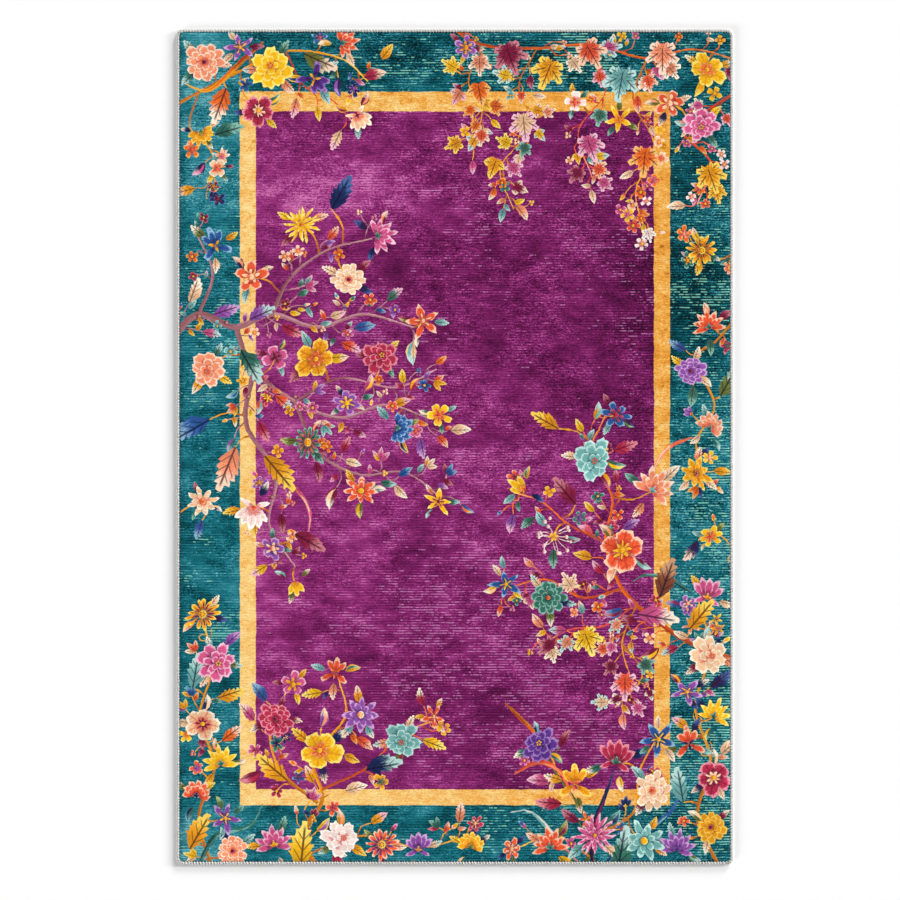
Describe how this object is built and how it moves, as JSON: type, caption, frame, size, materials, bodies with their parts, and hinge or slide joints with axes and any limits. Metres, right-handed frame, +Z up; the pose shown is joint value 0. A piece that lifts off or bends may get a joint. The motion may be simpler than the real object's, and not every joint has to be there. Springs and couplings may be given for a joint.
{
  "type": "washable area rug",
  "caption": "Flat rectangular low-pile rug with a printed floral field inside a gold band and a teal border, its edge overlocked in pale yarn.",
  "frame": {"origin": "middle of the underside, on the floor plane", "axes": "+X along the short side, +Y along the long side towards the top of the print, +Z up out of the pile"},
  "size_m": [1.219, 1.829, 0.0044],
  "materials": {
    "printed_cloth": "matte low pile, printed and worn",
    "edge_yarn": "matte overlocked yarn"
  },
  "bodies": {
    "root": {"rug_body": "printed_cloth", "edge_serging": "edge_yarn"}
  },
  "joints": []
}
